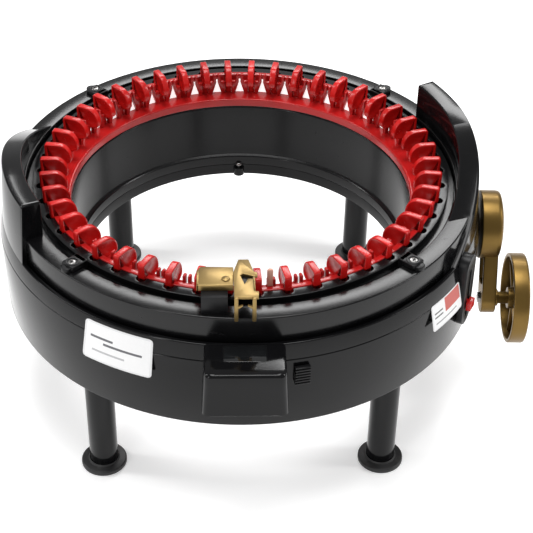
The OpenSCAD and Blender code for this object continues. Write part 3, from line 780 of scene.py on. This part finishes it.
class KM_OT_needles(bpy.types.Operator):
    """Builds the needles: one group that turns with the ring and three that also slide"""

    bl_idname = "knitting.needles"
    bl_label = "Needles"

    def needle(self, thickness):
        """One needle at angle 0, with a raised rim round a slightly hollow side."""
        half = thickness / 2
        outline = needle_outline()
        count = len(outline)

        def ring_at(inset, y):
            """The outline moved inwards by inset, at depth y."""
            moved = []
            for i in range(count):
                a, b, c = (Vector(outline[(i + k) % count]) for k in (-1, 0, 1))
                way = (b - a).normalized() + (c - b).normalized()
                inward = Vector((-way.y, way.x)).normalized()
                spot = b + inward * inset
                moved.append((spot.x, y, spot.y))
            return moved

        # Inset and depth below the side, from the hollow over the raised rim to the edge
        rim = [(1.6, 0.5), (1.2, 0.1), (0.8, 0), (0.3, 0.06), (0.06, 0.3), (0, 0.6)]
        rings = [ring_at(inset, deep - half) for inset, deep in rim]
        rings += [ring_at(inset, half - deep) for inset, deep in rim[::-1]]
        mesh = loft(bmesh.new(), rings)
        box(113.8, -half + 0.2, 104, 120, half - 0.2, 107.6, 0.3, mesh, 1)
        return mesh

    def execute(self, context):
        size = context.scene.km_needle
        thick, step = size.thickness / MM, 360 / size.count
        start = math.degrees(size.start)
        first = 32
        repeated("hook_needles", self.needle(thick), "needle_red", "cylinder", ("needles",),
            size.count, start, -step, angle=50, first=first, skipped=3)
        for k, letter in enumerate("abc"):
            mesh = self.needle(thick)
            mesh.transform(turn("Z", start - (first + k) * step))
            make(f"sliding_needle_{letter}", mesh, "needle_red", f"needle_{letter}",
                (f"needle_{letter}",), angle=50)
        half = 1.7
        outline = [(-half, 146.5), (half, 146.5)]
        outline += arc(0, high("start_marker", 2) - half, half, half, 0, 180, 12)
        tab = bmesh.new()
        loft(tab, [[(x, y, z) for y, z in outline] for x in (119.65, 121.15)])
        soften(tab, 0.35)
        tab.transform(turn("Z", -82.95))
        make("start_tab", tab, "marker_peach", "cylinder", ("start_marker",))
        return {"FINISHED"}


class KM_OT_ring(bpy.types.Operator):
    """Builds the black turning ring, the red comb ring and the white strips behind it"""

    bl_idname = "knitting.ring"
    bl_label = "Turning Ring"

    def execute(self, context):
        size = context.scene.km_needle
        step, start = 360 / size.count, math.degrees(size.start)
        make("turning_ring", self.notched(size.count, start), "cover_black", "cylinder",
            ("needle_ring",), angle=40)
        lip = lathe(round_corners([(108.6, 131.6, 0.5), (110.4, 131.6, 0.2), (110.8, 135.4, 0.2),
            (119.1, 135.4, 0.1), (119.1, 137.2, 0.1), (108.6, 137.2, 1.0)], 0.3, 4), 224)
        make("comb_lip", lip, "comb_red", "cylinder", ("comb_ring",))
        repeated("comb_pegs", self.comb_sector(step), "comb_red", "cylinder", ("comb_ring",),
            size.count, start - step / 2, -step, angle=40)
        # The white band and strips glow from the stitch white emission: painted light
        back = lathe(round_corners([(111, 132, 0.1), (118.6, 132, 0.1), (118.6, 135.3, 0.1),
            (112, 135.3, 0.1)], 0.1), 160)
        make("stitch_band", back, "white_plastic", "cylinder", ("stitch_ring",))
        strip = bmesh.new()
        outline = [(-4, 133.6), (4, 133.6), (4, 138), (0.9, 146.3), (-0.9, 146.3), (-4, 138)]
        loft(strip, [[(x, y, z) for y, z in outline] for x in (119.65, 121.35)])
        repeated("stitch_strips", strip, "white_plastic", "cylinder", ("stitch_ring",),
            size.count, start - step / 2, -step)
        return {"FINISHED"}

    def notched(self, count, start):
        """A flanged ring whose inner edge has a round notch at each needle."""
        step = 360 / count
        sections = []
        rim, notch, depth = 126.3, 3.25, 125.3
        spread = [notch + 0.02, notch, 3.1, 2.8, 2.3, 1.6, 0.8]
        offsets = spread + [0] + [-y for y in spread[::-1]]
        for i in range(count):
            middle = start - i * step
            spots = []
            for y in offsets:
                inner = depth if abs(y) > notch else rim + math.sqrt(notch ** 2 - y ** 2)
                spots.append((middle + math.degrees(y / rim), inner))
            spots += [(middle - step / 2 + d, depth) for d in (1.2, 0, -1.2)]
            for degrees, inner in spots:
                a = math.radians(degrees)
                outline = [(inner, 135.2), (131.8, 135.2), (131.8, 141.5), (135.2, 141.5),
                    (135.6, 141.9), (135.6, 144.0), (135.2, 144.4), (131.8, 144.4),
                    (131.8, RING_Z - 0.6), (131.6, RING_Z - 0.15), (131.2, RING_Z),
                    (inner + 0.3, RING_Z), (inner, RING_Z - 0.3)]
                sections.append([(r * math.cos(a), r * math.sin(a), z) for r, z in outline])
        return loft(bmesh.new(), sections, True)

    def comb_sector(self, step):
        """Floor, outer rim and two pegs between neighbouring needles."""
        mesh = bmesh.new()
        half = math.degrees(2.25 / 119)
        span = step - 2 * half
        floor = lathe(round_corners([(118.9, 135.4, 0.1), (125.25, 135.4, 0.1),
            (125.25, RING_Z + 0.6, 0.4), (121.8, RING_Z + 0.6, 0.4), (121.8, 137.2, 0.3),
            (118.9, 137.2, 0.1)], 0.2), 8, -span / 2, span)
        add(mesh, floor)
        for side in (1, -1):
            outline = [(0.5, 146.4), (0.6, 150.9)] + arc(1.575, 151.5, 0.975, 0.975, 180, 0, 8)
            outline += [(2.55, 147.2), (2.9, 146.8), (5.55, 146.8), (5.55, 136.9), (3.4, 136.9)]
            part = bmesh.new()
            loft(part, [[(x, y * side, z) for y, z in outline] for x in (116.5, 119.5)])
            soften(part, 0.3, 2, 35)
            add(mesh, part)
        return mesh


# Crank


def at_crank():
    """Carries a shape made round the X axis to the crank axis."""
    return turn("Z", CRANK_SIDE) @ shift(0, 0, CRANK_Z)


class KM_OT_crank(bpy.types.Operator):
    """Builds the crank hub, its arm and cap, the knob's axle and the turning knob"""

    bl_idname = "knitting.crank"
    bl_label = "Crank"

    def execute(self, context):
        size = context.scene.km_crank
        hub, knob = size.hub_radius / MM, size.knob_radius / MM
        mesh = lathe(round_corners([(4, 155.2, 0), (hub, 155.2, 0.8), (hub, 168.6, 3.4),
            (4, 168.6, 0)], 0.5, 6), 112)
        mesh.transform(ALONG_X)
        add(mesh, self.arm(), turn("X", -ARM_TURN))
        self.put("crank_casting", mesh, at_crank(), "crank", "crank_arm")
        cap = lathe(round_corners([(0, 168.4, 0), (hub - 4.5, 168.4, 0), (hub - 5, 169.2, 0.6),
            (hub - 7.5, 169.35, 0.4), (hub - 8, 169.05, 0.4), (0, 169.1, 0)], 0.3, 4), 80)
        cap.transform(ALONG_X)
        self.put("hub_cap", cap, at_crank(), "crank", "arm_cap")
        at_knob = turn("Z", CRANK_SIDE) @ shift(0, KNOB.y, KNOB.z)
        mesh = lathe(round_corners([(0, 160.6, 0), (3, 160.6, 0.3), (3, 168, 0), (5.6, 168, 0.4),
            (5.6, 170, 0.5), (4, 170.2, 0.2), (4, 184.3, 0.3), (0, 184.3, 0)], 0.3, 3), 48)
        mesh.transform(ALONG_X)
        self.put("knob_axle", mesh, at_knob, "crank", "knob_spindle")
        mesh = lathe(round_corners([(4.05, 176.6, 0.2), (7, 176.6, 0.5), (7, 184.6, 0.6),
            (knob - 2.4, 184.6, 0.8), (knob - 2.4, 176.6, 0.6), (knob, 176.6, 0.9),
            (knob, 187, 1.6), (knob - 3.4, 187, 0.5), (knob - 4.2, 186.5, 0.5), (5, 186.5, 0.5),
            (4.6, 186.9, 0.2), (0, 186.9, 0), (0, 184.95, 0), (4.05, 184.95, 0)], 0.4, 4), 128)
        mesh.transform(ALONG_X)
        for k in range(6):
            add(mesh, box(179.6, -0.8, 6, 185, 0.8, knob - 2, 0.25), turn("X", 60 * k))
        self.put("turning_knob", mesh, at_knob, "knob", "knob")
        return {"FINISHED"}

    def put(self, name, mesh, matrix, body, node):
        mesh.transform(matrix)
        make(name, mesh, "crank_gold", body, (node,), angle=40)

    def arm(self):
        """The flat arm along -Z from the crank axis, with a hollow in its back."""
        def outline(half, top, middle, drop, x):
            sides = [(-half, top), (half, top)] + arc(0, middle, half, drop, 0, -180, 24)
            return [(x, y, z) for y, z in sides]

        mesh = bmesh.new()
        loft(mesh, [outline(7.3, -8, 12 - ARM, 3, 162.4), outline(7.5, -7, 12 - ARM, 3.2, 158.7),
            outline(10, 0, -ARM, 10, 158.7), outline(10, 0, -ARM, 10, 168)])
        return soften(mesh, 0.7, 3, 40)


# Yarn guide, counter, selector and labels


class KM_OT_guide(bpy.types.Operator):
    """Builds the yarn guide, its block and its rivet"""

    bl_idname = "knitting.guide"
    bl_label = "Yarn Guide"

    def execute(self, context):
        top = high("yarn_guide", 2)
        outline = [(-3.3, -115.2), (2.5, -115.2), (5.3, -126.3), (7.3, -127.2), (7.3, -130),
            (4.3, -130.4), (2.1, -129.5), (-0.5, -128.4), (-2.4, -129.9), (0, -137.8),
            (1.8, -132.9), (4.3, -132.8), (4.5, -133.4), (5.6, -133.4), (5.8, -144.3),
            (7.8, -144.3), (7.6, -149.5), (-5.9, -149.4), (-6.3, -126.8)]
        mesh = slab(outline, top - 2, top, 0.3)
        slab([(-6.2, -120.2), (-6.2, -137.2), (-26.7, -137.2), (-26.8, -123.8),
            (-24.8, -119.6)], top - 5, top - 1.6, 0.35, mesh)
        # Upturned lips along the front and left edges of the side plate
        box(-26.9, -137.4, top - 5.2, -6.2, -136.2, top - 1.2, 0.3, mesh)
        box(-26.9, -137.4, top - 5.2, -25.6, -123.6, top - 1.2, 0.3, mesh)
        # Raised bar beside the thread slot
        box(4.6, -144.4, top - 2, 5.9, -130.2, top, 0.25, mesh)
        for left, right, way in ((-5.9, -3.6, 1), (4.1, 6.4, -1)):
            box(left, -150.9, 148, right, -149.3, top - 0.2, 0.45, mesh)
            x = right if way > 0 else left
            barb = [(x - 0.4 * way, 156.4), (x + 2.6 * way, 158.9), (x + 2.3 * way, 159.6),
                (x - 0.4 * way, 158.4)]
            part = bmesh.new()
            loft(part, [[(u, y, z) for u, z in barb] for y in (-150.8, -149.4)])
            soften(part, 0.2)
            add(mesh, part)
        # A black plate under the arrow plate shows through the keyhole: painted shadow for the
        # dark inside of the guide
        under = slab([(-3, -117), (2.2, -117), (4.4, -126), (5, -128), (4.8, -143.8),
            (-4.8, -143.8), (-5.2, -127)], top - 3.6, top - 1.9, 0.2)
        make("guide_keyhole_shadow_plate", under, "black_matte", "base", ("yarn_guide",))
        make("thread_guide", mesh, "guide_gold", "base", ("yarn_guide",), angle=30)
        rivet = lathe(round_corners([(0, 152, 0), (1, 152, 0.2), (1, top - 1.6, 0),
            (2.4, top - 1.6, 0.2), (2.3, top - 1, 0.5), (0, top - 0.45, 0)], 0.3, 4), 40)
        make("guide_rivet_head", add(bmesh.new(), rivet, shift(-10.5, -131.3, 0)), "guide_gold",
            "base", ("guide_rivet",))
        polished("guide_block", "guide_foot", "black_matte", "base", 0.5)
        return {"FINISHED"}


class KM_OT_counter(bpy.types.Operator):
    """Builds the counter housing, its window and the ribbed slider beside it"""

    bl_idname = "knitting.counter"
    bl_label = "Row Counter"

    def execute(self, context):
        make("counter_case", self.case(), "black_gloss", "base", ("counter_housing",), angle=30)
        z = high("counter_lens", 2)
        mesh = box(-11.95, -165.95, z - 0.7, 11.95, -152.55, z, 0.25)
        make("counter_window", mesh, "lens", "base", ("counter_lens",))
        polished("counter_slider", "ribbed_slider", "black_matte", "counter_slider", 0.25)
        return {"FINISHED"}

    def case(self):
        """Drafted box with rounded edges and a hollow, a window and a battery opening."""
        top, bottom = high("counter_housing", 2), low("counter_housing", 2)
        widest = high("counter_housing", 0)
        side_draft, front_draft = math.tan(math.radians(3)), math.tan(math.radians(4))
        sections = []
        for inset, z in ((0.6, bottom), (0, bottom + 0.6), (0, 108), (0, 116), (0, 124),
                (0, top - 2.2), (0.25, top - 1.1), (0.8, top - 0.35), (1.8, top)):
            half = min(widest - 1.6 + (top - z) * side_draft, widest) - inset
            front = -178 - (top - z) * front_draft + inset
            outline = round_corners([(-half, -150.6, 0), (-half, front, 4.5), (half, front, 4.5),
                (half, -150.6, 0)], 0, 6)
            sections.append([(x, y, z) for x, y in outline])
        mesh = loft(bmesh.new(), sections)
        # The window's seat, its opening, the hollow and the battery opening
        cutter = box(-12, -166, top - 0.8, 12, -152.5, top + 2, 0)
        box(-10.5, -165, 128, 10.5, -154, top, 0, cutter)
        box(-20.6, -172.6, 105.6, 20.6, -155, 130.4, 0, cutter)
        box(-11, -172, 100, 11, -158, 107, 0, cutter)
        return carve(mesh, cutter)


class KM_OT_selector(bpy.types.Operator):
    """Builds the selector plate and its red lever"""

    bl_idname = "knitting.selector"
    bl_label = "Selector"

    def execute(self, context):
        polished("selector_plate", "selector_guide", "black_matte", "base", 0.6, 3)
        polished("selector_lever", "selector_handle", "lever_red", "selector_lever", 0.5, 3)
        return {"FINISHED"}


class KM_OT_labels(bpy.types.Operator):
    """Builds the two unlettered labels on the body"""

    bl_idname = "knitting.labels"
    bl_label = "Labels"

    def execute(self, context):
        size = context.scene.km_body
        self.label("front_film", "front_label", "label_white", -126.5, -109.7, 104.9, 129.1, size)
        self.label("rating_sticker", "rating_label", "rating_film", -44, -32, 104.9, 122, size)
        return {"FINISHED"}

    def label(self, name, node, finish, start, end, bottom, top, size):
        """A film with rounded corners, bent to the shell."""
        seam, rim = size.seam_radius / MM, size.rim_radius / MM
        mesh = bmesh.new()
        uv = mesh.loops.layers.uv.new("label")
        across, up, corner = 28, 10, 0.09
        under, over = 0.02, 0.24
        points = {}

        def spot(u, v, lift):
            # The side edges draw in near the corners
            near = max(0.0, corner - min(v, 1 - v)) / corner
            draw = 0.05 * (1 - math.sqrt(max(0, 1 - near ** 2)))
            u = draw + u * (1 - 2 * draw)
            z = bottom + (top - bottom) * v
            r = seam + (rim - seam) * (z - SEAM_Z) / (RIM_Z - SEAM_Z) + lift
            a = math.radians(start + (end - start) * u)
            return (r * math.cos(a), r * math.sin(a), z)

        rows = [0, 0.02, 0.045] + [corner + (1 - 2 * corner) * k / up for k in range(up + 1)]
        rows += [0.955, 0.98, 1]
        for lift in (under, over):
            for i in range(across + 1):
                for j, v in enumerate(rows):
                    points[i, j, lift] = mesh.verts.new(spot(i / across, v, lift))
        last = len(rows) - 1

        def face(keys):
            made = mesh.faces.new([points[k] for k in keys])
            for loop, key in zip(made.loops, keys):
                loop[uv].uv = (key[0] / across, rows[key[1]])

        for i in range(across):
            for j in range(last):
                ring = [(i, j), (i + 1, j), (i + 1, j + 1), (i, j + 1)]
                face([(*k, over) for k in ring])
                face([(*k, under) for k in ring[::-1]])
        for i in range(across):
            for j in (0, last):
                face([(i, j, under), (i + 1, j, under), (i + 1, j, over), (i, j, over)])
        for j in range(last):
            for i in (0, across):
                face([(i, j, under), (i, j + 1, under), (i, j + 1, over), (i, j, over)])
        make(name, mesh, finish, "base", (node,))


class KM_OT_inner_parts(bpy.types.Operator):
    """Gives the carried-over inner parts their finishes"""

    bl_idname = "knitting.inner_parts"
    bl_label = "Inner Parts"

    def execute(self, context):
        slots = {part["node"]: part["material_slot"] for part in frame["record"]["subparts"]}
        for node, shown in frame["nodes"].items():
            shown.data.materials.clear()
            shown.data.materials.append(FINISH[slots[node]])
        return {"FINISHED"}


# Stage


class KM_OT_stage(bpy.types.Operator):
    """Sets up the floor, the studio light and the camera"""

    bl_idname = "knitting.stage"
    bl_label = "Stage"

    def execute(self, context):
        scene, size = context.scene, context.scene.km_stage
        scene.view_settings.view_transform = "Standard"
        lens = bpy.data.cameras.new("Camera")
        lens.lens, lens.sensor_width = size.lens, 36.0
        lens.clip_start, lens.clip_end = 0.05, 60
        camera = bpy.data.objects.new("Camera", lens)
        camera.location = (-0.01263, -0.76174, 0.65101)
        camera.rotation_euler = [math.radians(v) for v in (52.766, -0.848, -1.608)]
        scene.collection.objects.link(camera)
        scene.camera = camera
        floor = bmesh.new()
        lathe([(0, -0.5), (6000, -0.5), (6000, 0), (0, 0)], 64, mesh=floor)
        shade = Shade("pale floor")
        speck = shade.noise(40.0, 3.0)
        tone = shade.mix(speck * 0.5, (0.90, 0.90, 0.90), (0.87, 0.87, 0.87))
        FINISH["floor"] = shade.finish(tone, speck * 0.1 + 0.6, speck, 0.02,
            Emission_Color=(1, 1, 1), Emission_Strength=size.floor_glow,
            Specular_IOR_Level=0.1)
        make("Floor", floor, "floor", "base", ride=False)
        world = bpy.data.worlds.new("Studio")
        world.use_nodes = True
        scene.world = world
        back = world.node_tree.nodes["Background"]
        back.inputs["Color"].default_value = (1, 1, 1, 1)
        back.inputs["Strength"].default_value = size.soft_light
        for name, place, aim, width, height, power in (
                ("Top", (0, 0.1, 3.2), (0, 0, 0.1), 1.6, 1.6, 66),
                ("Back", (0.35, 2.2, 1.9), (0, 0, 0.12), 1.5, 0.5, 26),
                ("Left", (-1.7, 0.2, 1.5), (0, 0, 0.1), 0.3, 1.5, 16),
                ("Front", (-0.9, -1.3, 0.7), (0, 0, 0.1), 0.12, 0.9, 4),
                ("Right", (1.8, -0.2, 1.2), (0, 0, 0.1), 0.3, 1.2, 12)):
            lamp = bpy.data.lights.new(name, "AREA")
            lamp.shape, lamp.size, lamp.size_y, lamp.energy = "RECTANGLE", width, height, power
            shown = bpy.data.objects.new(name, lamp)
            shown.location = place
            away = Vector(place) - Vector(aim)
            shown.rotation_euler = away.to_track_quat("Z", "Y").to_euler()
            scene.collection.objects.link(shown)
        return {"FINISHED"}


class KM_PT_panel(bpy.types.Panel):
    """Lists the machine's pieces and settings."""

    bl_label = "Knitting Machine"
    bl_idname = "KM_PT_panel"
    bl_space_type = "VIEW_3D"
    bl_region_type = "UI"
    bl_category = "Knitting"

    def draw(self, context):
        for made in OPERATORS:
            self.layout.operator(made.bl_idname)
        for name in GROUPS:
            settings = getattr(context.scene, name)
            part = self.layout.box()
            for key in settings.__annotations__:
                part.prop(settings, key)


OPERATORS = (KM_OT_stage, KM_OT_inner_parts, KM_OT_shells, KM_OT_cover, KM_OT_legs, KM_OT_ring,
    KM_OT_needles, KM_OT_crank, KM_OT_guide, KM_OT_counter, KM_OT_selector, KM_OT_labels)
GROUPS = {"km_body": BodySettings, "km_needle": NeedleSettings, "km_crank": CrankSettings,
    "km_stage": StageSettings}


def register():
    for made in (*GROUPS.values(), *OPERATORS, KM_PT_panel):
        bpy.utils.register_class(made)
    for name, group in GROUPS.items():
        setattr(bpy.types.Scene, name, PointerProperty(type=group))


def unregister():
    for name in GROUPS:
        delattr(bpy.types.Scene, name)
    for made in (KM_PT_panel, *OPERATORS[::-1], *tuple(GROUPS.values())[::-1]):
        bpy.utils.unregister_class(made)


def main():
    register()
    scene = bpy.context.scene
    make_finishes(scene.km_body, scene.km_needle, scene.km_crank)
    for made in OPERATORS:
        group, name = made.bl_idname.split(".")
        getattr(getattr(bpy.ops, group), name)()


if __name__ == "__main__":
    main()
